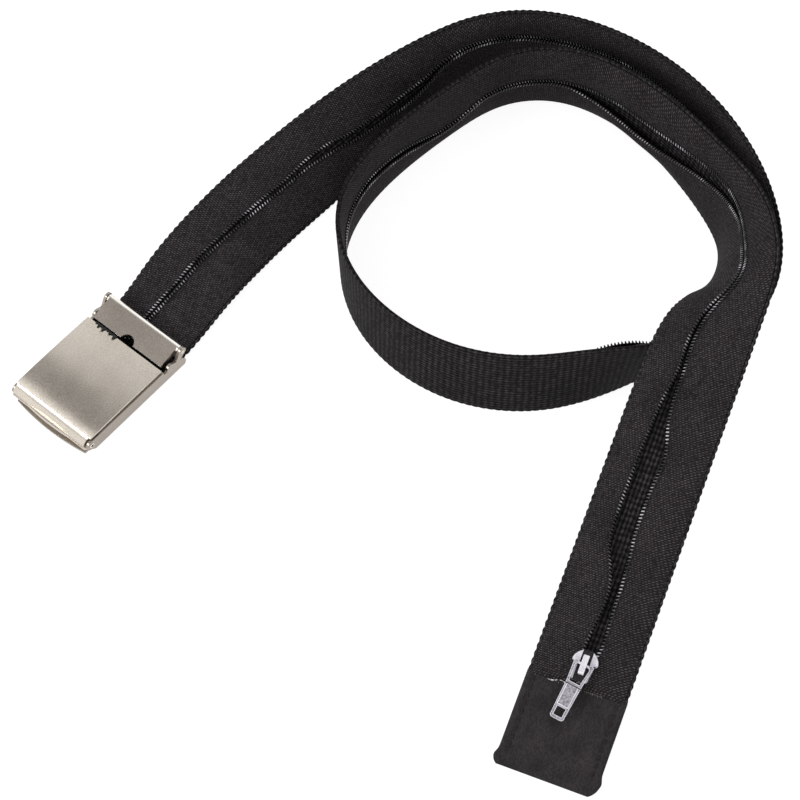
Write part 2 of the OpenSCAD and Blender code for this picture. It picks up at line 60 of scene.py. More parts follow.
def add_node(tree, kind, values=None, links=None, **settings):
    node = tree.nodes.new("ShaderNode" + kind)
    for name, value in settings.items():
        setattr(node, name, value)
    for socket, value in (values or {}).items():
        node.inputs[socket].default_value = value
    for socket, output in (links or {}).items():
        tree.links.new(output, node.inputs[socket])
    return node


def set_ramp(node, *stops):
    ramp = node.color_ramp
    while len(ramp.elements) < len(stops):
        ramp.elements.new(0.5)
    for element, (position, colour) in zip(ramp.elements, stops):
        element.position = position
        element.color = linear(colour)


def start_material(name, **values):
    material = bpy.data.materials.new(name)
    material.use_nodes = True
    shader = material.node_tree.nodes["Principled BSDF"]
    for socket, value in values.items():
        shader.inputs[socket.replace("_", " ")].default_value = value
    print("material:", name)
    return material, material.node_tree, shader


def plug_in(tree, shader, **outputs):
    for socket, output in outputs.items():
        tree.links.new(output, shader.inputs[socket.replace("_", " ")])


print("black webbing is", [round(c, 4) for c in linear("#1d1b1c")])

# %% [markdown]
# The strap is one long ribbon. It is easiest to model everything that is sewn to it lying flat, in
# millimetres along, across and out of the ribbon, and then to lay it along the strap's real route. The
# route is a smooth curve through a short table of stations: place, lean of the strap and lift off the table.

# %% The strap's route
strap_w, web_t = 38.0, 1.4
bed, rise, tip_z = 2.0, strap_w + 1, 1.0
fall = (rise - tip_z) / 5
route = np.array([
    [-12, 0, 0, bed], [10, 0, 0, bed], [32, 0, 0, bed], [54, 2.5, 8, 4.5],
    [76, 4, 17, 2], [98, 4, 25, 0.8], [120, 2, 32, 0.5], [142, -1, 45, 0.3],
    [165, -4, 60, 0], [190, -8, 75, 0], [216, -14, 87, 0], [236, -30, 92, 0],
    [247, -52, 92, 0], [251, -77, 90, 0], [249, -101, 86, 0], [242, -124, 81, 0],
    [231, -146, 78, 0], [216, -165, 75, 0], [198, -179, 69, 0], [177, -185, 60, 0],
    [156, -180, 63, 0], [135, -168, 78, 0], [114, -153, 92, 0], [97, -139, 93, 0],
    [84, -119, 93, 0], [78, -95, 92, 0], [80, -70, 90, 0], [90, -48, 88, 0],
    [107, -32, 88, 0], [130, -25, 90, 0], [156, -25, 92, 0], [183, -29, 94, 0],
    [210, -34, 95, 0], [228, -50, 93, 0], [235, -72, 90, 0], [235, -96, 86, 0],
    [230, -119, 81, 0], [223, -139, 76, 0.02 * rise], [212, -157, 70, 0.18 * rise],
    [196, -170, 60, 0.41 * rise], [176, -180, 44, 0.72 * rise], [153, -183, 16, 0.98 * rise],
    [130, -190, 0, rise], [100, -200, 0, rise - fall], [70, -210, 0, rise - 2 * fall],
    [40, -220, 0, rise - 3 * fall], [10, -230, 0, rise - 4 * fall], [-20, -240, 0, tip_z],
    [-50, -250, 0, tip_z - fall]])


def unit(rows):
    return rows / np.linalg.norm(rows, axis=1)[:, None]


turn = np.linspace(0, len(route) - 3, 9001)
first = np.clip(turn.astype(int), 0, len(route) - 4)
t = (turn - first)[:, None]
stations = ((1 - t) ** 3 * route[first] + (3 * t ** 3 - 6 * t ** 2 + 4) * route[first + 1]
            + (-3 * t ** 3 + 3 * t ** 2 + 3 * t + 1) * route[first + 2] + t ** 3 * route[first + 3]) / 6
lean = np.radians(stations[:, 2])
middle = np.stack([stations[:, 0], stations[:, 1], stations[:, 3] + strap_w / 2 * np.sin(lean)], 1)
along = unit(np.gradient(middle, axis=0))
level = unit(np.stack([-along[:, 1], along[:, 0], 0 * lean], 1))
across = np.cos(lean)[:, None] * level + np.sin(lean)[:, None] * np.cross(along, level)
outward = np.cross(along, across)
run = np.concatenate([[0], np.cumsum(np.linalg.norm(np.diff(middle, axis=0), axis=1))])
strap_l = run[-1]
print("strap length in mm:", round(strap_l, 1))

# %% [markdown]
# Two small tools do the moving. `mould` pushes the vertices of a flat piece by a rule, as a sculpting brush
# would. `lay` carries a finished flat piece onto the route and keeps its flat coordinates in an attribute
# named belt, so that a weave can follow the strap round every bend.

# %% Moulding and laying
mm, table_gap = 0.001, 0.02


def vertex_table(piece):
    co = np.empty(3 * len(piece.data.vertices), np.float32)
    piece.data.vertices.foreach_get("co", co)
    return co.reshape(-1, 3).astype(float)


def mould(piece, rule):
    moved = np.stack(rule(*vertex_table(piece).T), 1)
    piece.data.vertices.foreach_set("co", moved.astype(np.float32).ravel())
    piece.data.update()


def lay(piece):
    flat = vertex_table(piece)
    note = piece.data.attributes.new("belt", "FLOAT_VECTOR", "POINT")
    note.data.foreach_set("vector", flat.astype(np.float32).ravel())
    s, u, h = flat.T

    def at(table):
        return np.stack([np.interp(s, run, table[:, k]) for k in range(3)], 1)

    past_end = (s - np.clip(s, 0, strap_l))[:, None]
    spot = at(middle) + past_end * at(along) + u[:, None] * at(across) + h[:, None] * at(outward)
    spot[:, 2] = np.maximum(spot[:, 2], table_gap)
    piece.data.vertices.foreach_set("co", (mm * spot).astype(np.float32).ravel())
    piece.data.update()


# %% [markdown]
# The rest are the steps that every piece needs: a flat grid to start from, a modifier added and applied at
# once, normals that point outwards, and a last step that smooths the piece, gives it its materials, hangs it
# on the body that it rides on and hides the CAD node that it stands for.

# %% Steps for every piece
def flat_grid(name, columns, rows, length=1.0, width=1.0):
    bpy.ops.object.select_all(action="DESELECT")
    bpy.ops.mesh.primitive_grid_add(x_subdivisions=columns, y_subdivisions=rows, size=1,
                                    location=(length / 2, 0, 0))
    grid = bpy.context.object
    grid.name = name
    grid.scale = (length, width, 1)
    bpy.ops.object.transform_apply(location=True, rotation=True, scale=True)
    return grid


def apply_modifier(piece, kind, **settings):
    bpy.ops.object.modifier_add(type=kind)
    modifier = piece.modifiers[-1]
    for name, value in settings.items():
        setattr(modifier, name, value)
    bpy.ops.object.modifier_apply(modifier=modifier.name)


def point_outwards():
    bpy.ops.object.mode_set(mode="EDIT")
    bpy.ops.mesh.select_all(action="SELECT")
    bpy.ops.mesh.normals_make_consistent(inside=False)
    bpy.ops.object.mode_set(mode="OBJECT")


def finish_piece(piece, materials, slot, *nodes, body="strap", smooth=40, flat_faces=False):
    bpy.ops.object.select_all(action="DESELECT")
    piece.select_set(True)
    bpy.context.view_layer.objects.active = piece
    bpy.ops.object.shade_smooth_by_angle(angle=math.radians(smooth))
    if flat_faces:
        apply_modifier(piece, "WEIGHTED_NORMAL", keep_sharp=True)
    picked = np.zeros(len(piece.data.polygons), np.int32)
    piece.data.polygons.foreach_get("material_index", picked)
    piece.data.materials.clear()
    for material in materials:
        piece.data.materials.append(material)
    piece.data.polygons.foreach_set("material_index", np.minimum(picked, len(materials) - 1))
    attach(piece, body)
    if nodes:
        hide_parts(*nodes)
    piece.data.calc_loop_triangles()
    print(piece.name, "has", len(piece.data.loop_triangles), "triangles")


# %% [markdown]
# Cloth finishes share three steps. A weave is drawn by waves, whose crests stand one thread gap apart. A
# noise as fine as the threads makes some of them catch more light than others. And a wide soft noise adds the
# slight fading of cloth that is handled; on the sleeve the creases' own noise is used, which paints light and
# shade over them. The attribute named belt is in millimetres, so the scale of a noise on it is spots to the
# millimetre.

# %% Steps for cloth finishes
def wave_scale(gap):
    # a wave texture turns 20 radians to the unit
    return math.pi / 10 / gap


def flecked(tree, belt, floats, *stops, per_mm, dim, bright):
    uneven = add_node(tree, "TexNoise", links={"Vector": belt}, values={"Scale": per_mm, "Detail": 2.0})
    lift = add_node(tree, "MapRange", links={"Value": uneven.outputs["Fac"]},
                    values={"From Min": 0.3, "From Max": 0.7, "To Min": dim, "To Max": bright})
    flecks = add_node(tree, "Math", operation="MULTIPLY", links={0: floats, 1: lift.outputs["Result"]})
    tone = add_node(tree, "ValToRGB", links={"Fac": flecks.outputs["Value"]})
    set_ramp(tone, *stops)
    return tone.outputs["Color"]


def fading_and_shade(tree, colour, patches, strength):
    tone_mix = add_node(tree, "Mix", data_type="RGBA", blend_type="SOFT_LIGHT", values={"Factor": strength},
                    links={"A": colour, "B": patches.outputs["Fac"]})
    return tone_mix.outputs["Result"]


print("a 1.6 mm weave has a wave scale of", round(wave_scale(1.6), 3))

# %% [markdown]
# Webbing is polyester yarn woven so tight that its lengthwise floats stand up as small dashes, stacked in
# ribs across the strap. Two waves make that weave: one along the strap for the ribs, 2.6 mm apart, and one
# across it for the rows of floats, 1.6 mm apart. They drive colour and bump. A little distortion keeps the
# rows from running as straight as a ruler.

# %% Woven polyester webbing
# black polyester yarn, woven: dull, with a painted sheen on the floats and black gaps between them
webbing_cloth, tree, shader = start_material("woven_polyester_webbing", Roughness=0.8,
                                             Specular_IOR_Level=0.08)
belt = add_node(tree, "Attribute", attribute_name="belt").outputs["Vector"]
rib_gap, row_gap = 2.6, 1.6
ribs = add_node(tree, "TexWave", bands_direction="X", links={"Vector": belt},
                values={"Scale": wave_scale(rib_gap), "Distortion": 1.5, "Detail Scale": 4.0})
rows = add_node(tree, "TexWave", bands_direction="Y", links={"Vector": belt},
                values={"Scale": wave_scale(row_gap), "Distortion": 1.0, "Detail Scale": 4.0})
floats = add_node(tree, "Mix", data_type="FLOAT", values={"Factor": 0.6},
                  links={"A": ribs.outputs["Fac"], "B": rows.outputs["Fac"]}).outputs["Result"]
colour = flecked(tree, belt, floats, (0.05, "#0a0909"), (0.5, "#232122"), (1.0, "#444142"),
                 per_mm=0.8, dim=0.5, bright=1.3)
patches = add_node(tree, "TexNoise", links={"Vector": belt}, values={"Scale": 0.05, "Detail": 3.0})
raised = add_node(tree, "Bump", values={"Strength": 0.5, "Distance": 0.0003}, links={"Height": floats})
plug_in(tree, shader, Base_Color=fading_and_shade(tree, colour, patches, strength=0.35), Normal=raised.outputs["Normal"])

# %% [markdown]
# The strap itself starts as a flat grid. Solidify gives it its 1.4 mm, and the mould crowds the columns to
# the two edges, where the weft turns back and leaves the scalloped selvedge, 3 mm from bump to bump. Along
# the seams the thread pulls it thinner. Its tip is cut narrower, to fit into the sleeve that is sewn on.

# %% Outer webbing
edge = strap_w / 2
tape_edge = edge - 1.2
seam_u = tape_edge - 0.9
scallop_gap, scallop_out, rim_w = 3.0, 0.45, 2.0
tip_taper, tip_cut, tuck_l, tuck_in = 7.0, 3.0, 34, 0.5


def selvedge(s, u, h):
    u = edge * np.sin(math.pi / 2 * u / edge)
    rim = np.clip((np.abs(u) - edge + rim_w) / rim_w, 0, 1)
    bump = np.abs(np.sin(math.pi * s / scallop_gap)) - 0.6
    seam = np.exp(-((np.abs(u) - seam_u) / 0.6) ** 2)
    tuck = tip_cut * np.clip(1 - (strap_l - s) / tip_taper, 0, 1) ** 2 + tuck_in * (s > strap_l - tuck_l)
    u = u * (1 - tuck / edge)
    thin = 1 - 0.5 * rim ** 3 + 0.15 * rim * bump - 0.18 * seam
    return s, u + np.sign(u) * rim * scallop_out * bump, h * thin


webbing = flat_grid("webbing", 1880, 16, strap_l, strap_w)
apply_modifier(webbing, "SOLIDIFY", thickness=web_t, offset=0)
mould(webbing, selvedge)
lay(webbing)
finish_piece(webbing, [webbing_cloth], "webbing", "outer_webbing", smooth=60)

# %% [markdown]
# The zip's two tapes are sewn to the strap along its edges and meet in the middle, so the strap and the
# tapes make a long flat pocket. Tables by distance from the tip say how far the mouth gapes, how far it
# wanders to one side, how much room is under the tapes, and how wide the level strip beside each row of
# teeth is.

# %% The pocket's tables
slider_at, coil_w, coil_h, pouch = 42.5, 1.8, 1.7, 2.0
mouth = np.array([
    [0, 0], [slider_at - 6, 0], [slider_at - 2, 0.35], [slider_at + 4, 1.7], [slider_at + 9, 2.2],
    [slider_at + 17, 1.6], [slider_at + 24, 1], [slider_at + 28, 0.9], [slider_at + 36, 1.6],
    [slider_at + 46, 3.4], [128, 3.4], [140, 2], [150, 1], [162, 0.2], [245, 0.1], [254, 0.9],
    [262, 1.5], [274, 2.2], [285, 2.8], [298, 3.4], [310, 4], [322, 4.2], [336, 3.6], [350, 2],
    [362, 0.2], [405, 0.1], [428, 0.5], [440, 1.3], [455, 1.5], [475, 1.3], [490, 1], [505, 0.4],
    [600, 0.5], [632, 1.2], [645, 1.8], [658, 1.8], [672, 0.8], [700, 0.3], [930, 0.1], [941, 0.3],
    [946, 1.2], [955, 1.7], [964, 1.7], [973, 1.2], [985, 0.9], [1000, 1], [1012, 0.6], [1022, 0.1],
    [1140, 0.1]])
wander = np.array([
    [0, 0], [44, 0], [47, 0.4], [52, 1], [60, 1.2], [70, 1.2], [76, 0.8], [82, -0.6], [90, -2.6],
    [98, -3.4], [131, -3.4], [140, -4.2], [149, -4.4], [162, -3.6], [176, -4.2], [186, -3.6],
    [194, -1.5], [202, 1.5], [210, 3.6], [216, 4], [230, 3.6], [247, 4.6], [262, 5.2], [274, 4.6],
    [285, 3], [298, 0], [310, -2.6], [322, -3.4], [336, -3], [350, -2.2], [362, -1.4], [394, -1],
    [402, -1.6], [408, -4.2], [417, -7], [426, -6.8], [435, -4.4], [444, -1.6], [455, 0.6],
    [470, 2.4], [485, 2.4], [510, 0], [615, 0], [632, 5], [645, 9.4], [658, 9.4], [672, 4],
    [690, 0.5], [720, 1], [800, 2], [860, 3.4], [890, 4.2], [899, 5], [917, 5.6], [928, 5],
    [937, 3.2], [941, 2], [946, -0.4], [955, -2.2], [964, -2.8], [980, -2.6], [990, -1.8],
    [1000, 0.4], [1012, 1.3], [1026, 0.6], [1050, 1], [1070, 2], [1088, 2.2], [1097, 3],
    [1107, 3.6], [1140, 3.6]])
pouch_at = np.array([
    [0, 1], [140, 1], [180, 0.6], [235, 0.9], [270, 0.9], [300, 1.6], [322, 2], [340, 1.6],
    [362, 0.9], [440, 0.6], [520, 0.5], [600, 0.8], [625, 0.8], [640, 1.8], [662, 1.8], [680, 0.8],
    [700, 0.6], [860, 0.5], [920, 1], [1000, 0.5], [1070, 0.25], [1140, 0.25]])
flat_at = np.array([[0, 5], [150, 5], [190, 2.5], [1140, 2.5]])


def soft_table(table):
    # the table's corners are rounded off over about 8 mm, as cloth rounds them
    d = np.arange(-60.0, 1260.0)
    window = np.hanning(11)
    smooth = np.convolve(np.interp(d, *table.T), window / window.sum(), "same")
    return lambda s: np.interp(strap_l - s, d, smooth)


gape, drift, room, level_strip = (soft_table(table) for table in (mouth, wander, pouch_at, flat_at))
print("widest mouth in mm:", round(2 * float(gape(np.arange(0, strap_l)).max()), 2))

# %% [markdown]
# Two rules read those tables: where the middle of a row of teeth runs, and how high its tape lies. Each has
# one place of its own. Where the slider ends its travel, 126 mm from the tip, the left row bows out to pass
# beside the slider's middle post. And 650 mm from the tip the lower tape has sprung out over the upper one,
# so its teeth stand against the light.

# %% Rows of teeth
bow_at, bow_l, bow_out = 126, 9, 1.1
spring_at, spring_l, spring_out = 650, 17, 2.9
tape_low = web_t / 2 + 0.3


def row_line(s, side):
    # measured from the strap's middle toward the row's own edge
    bow = bow_out * np.exp(-((strap_l - s - bow_at) / bow_l) ** 2) if side > 0 else 0.0
    return gape(s) + 0.1 + coil_w / 2 + side * drift(s) + bow


def tape_height(s, side):
    sprung = np.exp(-((strap_l - s - spring_at) / spring_l) ** 2)
    return tape_low + pouch * room(s) + sprung * (-spring_out if side > 0 else spring_out)


print("left row at the bow, in mm from the middle:", round(float(row_line(strap_l - bow_at, 1)), 2))

# %% [markdown]
# Zip tape is a thin twill: its floats step sideways from row to row, which draws fine diagonal lines. Two
# waves make that weave, one along the diagonal and one along the strap, and where both crests meet is one
# pale float.

# %% Polyester twill
# black polyester twill tape, woven and dyed: dull, with pale flecks where single floats catch the light
twill, tree, shader = start_material("polyester_twill_tape", Roughness=0.8, Specular_IOR_Level=0.08)
line_gap, float_gap = 0.85, 0.85
belt = add_node(tree, "Attribute", attribute_name="belt").outputs["Vector"]
# a diagonal wave turns only 10 radians to the unit
lines = add_node(tree, "TexWave", bands_direction="DIAGONAL", links={"Vector": belt},
                 values={"Scale": math.pi / 5 / (line_gap * math.sqrt(2))})
picks = add_node(tree, "TexWave", bands_direction="X", links={"Vector": belt},
                 values={"Scale": wave_scale(float_gap)})
floats = add_node(tree, "Math", operation="MULTIPLY",
                  links={0: lines.outputs["Fac"], 1: picks.outputs["Fac"]}).outputs["Value"]
colour = flecked(tree, belt, floats, (0.0, "#1c191b"), (0.3, "#322e30"), (1.0, "#575354"),
                 per_mm=0.9, dim=0.1, bright=1.5)
patches = add_node(tree, "TexNoise", links={"Vector": belt}, values={"Scale": 0.06, "Detail": 3.0})
raised = add_node(tree, "Bump", values={"Strength": 0.4, "Distance": 0.0003}, links={"Height": floats})
plug_in(tree, shader, Base_Color=fading_and_shade(tree, colour, patches, strength=0.4), Normal=raised.outputs["Normal"])

# %% [markdown]
# Each tape is again a grid. Its mould maps one side to the seam at the strap's edge and the other to the row
# of teeth, and lifts the cloth in a soft swell over the pocket. Close to the seam the stitches pull small
# puckers, and at the tip the cloth dives under the sleeve.

# %% Zip tapes
zip_start, zip_end, tape_t = 8.0, strap_l - 34.2, 0.5
seam_pitch, dive_at, dive_l = 3.2, 34.8, 2.2


def swell(side):
    def rule(s, u, h):
        s = zip_start + s * (zip_end - zip_start)
        row = row_line(s, side)
        out = tape_edge + (row + 0.1 - tape_edge) * (0.5 + u)
        slope = np.clip((tape_edge - out) / (tape_edge - row - 0.95 - level_strip(s)), 0, 1)
        dive = np.clip((strap_l - s - dive_at) / dive_l, 0, 1) ** 0.5
        lift = dive * (tape_height(s, side) - tape_low) * np.sin(math.pi / 2 * slope)
        top = tape_low - 0.3 * (1 - dive) + lift
        pull = 0.10 + 0.08 * np.cos(2 * math.pi * s / seam_pitch)
        pucker = np.exp(-((out - seam_u) / 0.7) ** 2) * pull
        waves = np.sin(s / 7.3 + side) + np.sin(s / 4.1 + 2 * side) * 0.6
        return s, side * out, top - pucker + 0.16 * slope * (1 - slope) * waves
    return rule


for side, name, node in ((1, "tape_left", "zip_tape_left"), (-1, "tape_right", "zip_tape_right")):
    tape = flat_grid(name, 960, 16)
    mould(tape, swell(side))
    apply_modifier(tape, "SOLIDIFY", thickness=tape_t, offset=0)
    point_outwards()
    lay(tape)
    finish_piece(tape, [twill], "tape", node, smooth=60)

# %% [markdown]
# A coil zip's teeth are one nylon wire wound into a flat spiral. An attribute named crest keeps how high each
# point stands on its turn, and the colour grows paler with it: a painted highlight on the crest of every
# turn.

# %% Nylon
# black nylon monofilament, heat set: glossy, with a painted highlight on the crest of each turn and painted
# shade low on it
nylon, tree, shader = start_material("nylon_monofilament", Roughness=0.25, Specular_IOR_Level=0.4)
crest = add_node(tree, "Attribute", attribute_name="crest")
place = add_node(tree, "TexCoord").outputs["Object"]
# the painted highlight is stronger and weaker in patches of about 11 mm, which is 90 to the metre
highlight_patches = add_node(tree, "TexNoise", links={"Vector": place}, values={"Scale": 90.0, "Detail": 4.0})
highlight_strength = add_node(tree, "MapRange", links={"Value": highlight_patches.outputs["Fac"]},
                  values={"From Min": 0.35, "From Max": 0.65, "To Min": 0.8, "To Max": 1.12})
crest_highlight = add_node(tree, "Math", operation="MULTIPLY",
                 links={0: crest.outputs["Fac"], 1: highlight_strength.outputs["Result"]})
tone = add_node(tree, "ValToRGB", links={"Fac": crest_highlight.outputs["Value"]})
# dark low on each turn, pale on its crest: painted shade and painted highlight
set_ramp(tone, (0.5, "#0a0a0b"), (0.82, "#1c1b1d"), (0.95, "#6d6b6f"), (1.0, "#c3c1c5"))
plug_in(tree, shader, Base_Color=tone.outputs["Color"])

# %% [markdown]
# The Screw modifier winds a small ring round the strap's direction, 1.4 mm forward each turn, and the mould
# flattens the spiral and carries it along its row. The two rows turn opposite ways and stand half a turn
# apart, so that they mesh where the zip is shut.

# %% Rows of coil teeth
coil_pitch, wire_r, turn_r = 1.4, 0.29, 0.6
teeth_end = strap_l - 36.4
turns = int((teeth_end - zip_start) / coil_pitch)
print("turns in a row:", turns)


def press(s, u, h):
    # each round turn is pressed to a flat top, so that it reads as a rib across the row
    far = np.hypot(u, h)
    return s, far * np.sign(u) * np.abs(u / far) ** 0.8, far * np.sign(h) * np.abs(h / far) ** 0.7


for side, name, node in ((1, "teeth_left", "coil_left"), (-1, "teeth_right", "coil_right")):
    bpy.ops.mesh.primitive_circle_add(vertices=6, radius=wire_r, location=(0, 0, turn_r),
                                      rotation=(math.pi / 2, 0, 0))
    teeth = bpy.context.object
    teeth.name = name
    bpy.ops.object.transform_apply(location=True, rotation=True, scale=True)
    apply_modifier(teeth, "SCREW", axis="X", angle=2 * math.pi, screw_offset=coil_pitch, iterations=turns,
                   steps=9, render_steps=9, use_merge_vertices=False)
    mould(teeth, press)
    height = 0.5 + 0.5 * vertex_table(teeth)[:, 2] / (turn_r + wire_r)
    crests = teeth.data.attributes.new("crest", "FLOAT", "POINT")
    crests.data.foreach_set("value", height.astype(np.float32))

    def wind(s, u, h, side=side):
        s = s + zip_start + (0 if side > 0 else coil_pitch / 2)
        return s, side * (row_line(s, side) + u), tape_height(s, side) + 0.15 * coil_h + h * 0.95

    mould(teeth, wind)
    point_outwards()
    lay(teeth)
    finish_piece(teeth, [nylon], "coil", node, smooth=70)

# %% [markdown]
# Sewing thread shows in three places: long seam stitches along both edges, small stitches that hold each row
# of teeth to its tape, and a bar of stitches across the end of the zip. A diagonal wave stands for the twist
# of its ply, with a turn every 1 mm, because the real one is too fine to show.

# %% Polyester sewing thread
# black polyester sewing thread, twisted from fine filaments: darker than the cloth, with a faint lustre
black_thread, tree, shader = start_material("black_sewing_thread", Roughness=0.6, Specular_IOR_Level=0.2)
belt = add_node(tree, "Attribute", attribute_name="belt").outputs["Vector"]
ply = add_node(tree, "TexWave", bands_direction="DIAGONAL", links={"Vector": belt},
               values={"Scale": 0.6, "Distortion": 1.0})
tone = add_node(tree, "ValToRGB", links={"Fac": ply.outputs["Fac"]})
set_ramp(tone, (0.0, "#0f0e0e"), (1.0, "#302d2e"))
plug_in(tree, shader, Base_Color=tone.outputs["Color"])

# %% [markdown]
# One stitch is modelled, and Array modifiers copy it along and across. It starts as a ball of few faces, is
# drawn out to its length, and bends down so that its two ends dive into the cloth.

# %% One stitch, and copies of it
def one_stitch(name, length, width, turned=0.0):
    bpy.ops.object.select_all(action="DESELECT")
    bpy.ops.mesh.primitive_uv_sphere_add(segments=8, ring_count=5, radius=0.5, rotation=(0, math.pi / 2, 0))
    stitch = bpy.context.object
    stitch.name = name
    bpy.ops.object.transform_apply(location=True, rotation=True, scale=True)
    stitch.scale = (length, width, width * 0.8)
    stitch.rotation_euler = (0, 0, turned)
    bpy.ops.object.transform_apply(location=True, rotation=True, scale=True)
    mould(stitch, lambda s, u, h: (s, u, h - 0.35 * width * (2 * s / length) ** 2))
    return stitch


def repeat(piece, step, count):
    apply_modifier(piece, "ARRAY", use_relative_offset=False, use_constant_offset=True,
                   constant_offset_displace=step, count=count)


# %% [markdown]
# The seams run along both edges and show on both faces of the belt. Array puts the second seam one unit over,
# and the mould sends the two to their lines, left and right. On the sleeve the line lies further in.

# %% Seam stitches
sleeve_l, sleeve_seam = 35.5, 15.9
seam_count = int((strap_l - 12) / seam_pitch)
inner_start, inner_h, outer_start, outer_h = 9, 1.2, 7.4, -0.6


def to_both_sides(u, line):
    return np.where(u > 0.5, u - 1 + line, u - line)


def sew(s, u, h):
    s = s + inner_start
    on_sleeve = s > strap_l - sleeve_l
    return s, to_both_sides(u, np.where(on_sleeve, sleeve_seam, seam_u)), h + inner_h + 0.2 * on_sleeve


def sew_outside(s, u, h):
    return s + outer_start, to_both_sides(u, seam_u), outer_h - h


for name, length, width, rule in (("seam_stitches", 2.5, 0.5, sew),
                                  ("outer_seam_stitches", 2.3, 0.42, sew_outside)):
    seams = one_stitch(name, length, width)
    repeat(seams, (seam_pitch, 0, 0), seam_count)
    repeat(seams, (0, 1, 0), 2)
    mould(seams, rule)
    point_outwards()
    lay(seams)
    finish_piece(seams, [black_thread], "thread", smooth=70)

# %% [markdown]
# Each row of teeth is held to its tape by a line of small slanted stitches, one to a turn of the coil.

# %% Stitches beside the teeth
for side, name in ((1, "teeth_thread_left"), (-1, "teeth_thread_right")):
    held = one_stitch(name, 1.0, 0.36, turned=0.5 * side)
    repeat(held, (coil_pitch, 0, 0), turns - 12)

    def beside(s, u, h, side=side):
        s = s + zip_start
        return s, side * (row_line(s, side) + 1.35) + u, h + tape_height(s, side) + 0.25

    mould(held, beside)
    lay(held)
    finish_piece(held, [black_thread], "thread", smooth=70)

# %% [markdown]
# The tip of the strap wears a plain cloth sleeve, folded round the end and sewn along both sides. Its grain
# is finer than that of the tapes, a brick pattern of 0.9 by 0.5 mm, and soft creases run over it.

# %% Plain-weave lining
# black plain-weave polyester lining: smooth and dull, with a finer grain than the tapes
lining, tree, shader = start_material("plain_weave_lining", Roughness=0.8, Specular_IOR_Level=0.1)
belt = add_node(tree, "Attribute", attribute_name="belt").outputs["Vector"]
grain = add_node(tree, "TexBrick", offset=0.5, offset_frequency=2, links={"Vector": belt},
                 values={"Color1": linear("#2b2829"), "Color2": linear("#3a3637"),
                         "Mortar": linear("#211e1f"), "Scale": 1.0, "Mortar Size": 0.1,
                         "Mortar Smooth": 1.0, "Bias": 0.0, "Brick Width": 0.9, "Row Height": 0.5})
creases = add_node(tree, "TexNoise", links={"Vector": belt}, values={"Scale": 0.12, "Detail": 4.0})
raised = add_node(tree, "Bump", values={"Strength": 0.35, "Distance": 0.002},
                  links={"Height": creases.outputs["Fac"]})
# the colour follows the crease noise too: painted light on the rises and painted shade in the hollows
plug_in(tree, shader, Base_Color=fading_and_shade(tree, grain.outputs["Color"], creases, strength=0.5),
        Normal=raised.outputs["Normal"])

# %% [markdown]
# The sleeve's hem makes a thick roll with a small ear at each corner, one of them rounded off more than the
# other. A grid is wrapped round the end by the mould: along the front, over the hem and a little way down the
# back. The seams press it in on both sides.

# %% Sleeve at the tip
hem_r, back_l, sleeve_half = 0.95, 9, edge + 0.1


def bell(x, at, spread):
    return np.exp(-((x - at) / spread) ** 2)


def wrap(s, u, h):
    way = s * (sleeve_l + math.pi * hem_r + back_l) - sleeve_l
    angle = np.clip(way / hem_r, 0, math.pi)
    back_way = np.maximum(way - math.pi * hem_r, 0)
    q = np.where(way < 0, way, hem_r * np.sin(angle) - back_way)
    out = 0.1 + hem_r * np.cos(angle)
    side = np.sin(math.pi * u)
    from_tip = hem_r - q
    ear = np.where(side < 0, 1.0 * bell(from_tip, 2.9, 1.9), 0.8 * bell(from_tip, 5.5, 2.0))
    round_off = np.where(side < 0, 0.9 * np.clip(1 - from_tip / 1.4, 0, 1) ** 2,
                         2.4 * np.clip(1 - from_tip / 3.5, 0, 1) ** 2)
    half = sleeve_half + ear - round_off
    rim = np.clip((np.abs(side) - 0.94) / 0.06, 0, 1)
    seam = bell(np.abs(side) * half, sleeve_seam, 0.9)
    swollen = 0.35 * bell(from_tip, 0, 2.5) + 0.5 * ear * np.abs(side) ** 6
    crease = 0.12 * np.sin(q / 2.9 + 3 * side) * np.cos(4 * side + q / 9)
    out = np.where(way < 0, out + swollen + crease * (1 - seam) - 0.5 * seam, out)
    return strap_l + q, side * half, out * (1 - rim ** 2) + 0.1 * rim ** 2


sleeve = flat_grid("tip_sleeve", 90, 44)
mould(sleeve, wrap)
apply_modifier(sleeve, "SOLIDIFY", thickness=0.45, offset=0)
lay(sleeve)
finish_piece(sleeve, [lining], "cover_fabric", "tip_cover", smooth=60)

# %% [markdown]
# Where the sleeve meets the zip, a bar of thread is sewn to and fro, so the slider can't run off its end.
# Most of it has sunk into the cloth. The bar's stitches are shifted by a sine, so that none lies quite like
# its neighbour. Rubbed thread, and some finishes further on, are simply mottled: a noise in the piece's own
# metres, turned into a colour. Its scale is spots to the metre, so 700 is a spot every 1.4 mm.

# %% Bar of stitches
def mottled(tree, *stops, per_metre, detail):
    place = add_node(tree, "TexCoord").outputs["Object"]
    spots = add_node(tree, "TexNoise", links={"Vector": place}, values={"Scale": per_metre, "Detail": detail})
    tone = add_node(tree, "ValToRGB", links={"Fac": spots.outputs["Fac"]})
    set_ramp(tone, *stops)
    return tone.outputs["Color"]


# dark polyester thread, sunk into the cloth and rubbed paler on top
bar_thread, tree, shader = start_material("rubbed_sewing_thread", Roughness=0.55, Sheen_Weight=0.1)
colour = mottled(tree, (0.35, "#1f1d1e"), (0.7, "#837e7d"), per_metre=700.0, detail=3.0)
plug_in(tree, shader, Base_Color=colour)

bar_gap, bar_count = 0.72, 28
bar_s, bar_u, bar_h = strap_l - sleeve_l + 0.9, -9.8, 1.45


def sew_bar(s, u, h):
    shift = 0.25 * np.sin(2.1 * np.floor(u / bar_gap + 0.5))
    return bar_s + s + shift, bar_u + u, bar_h + h


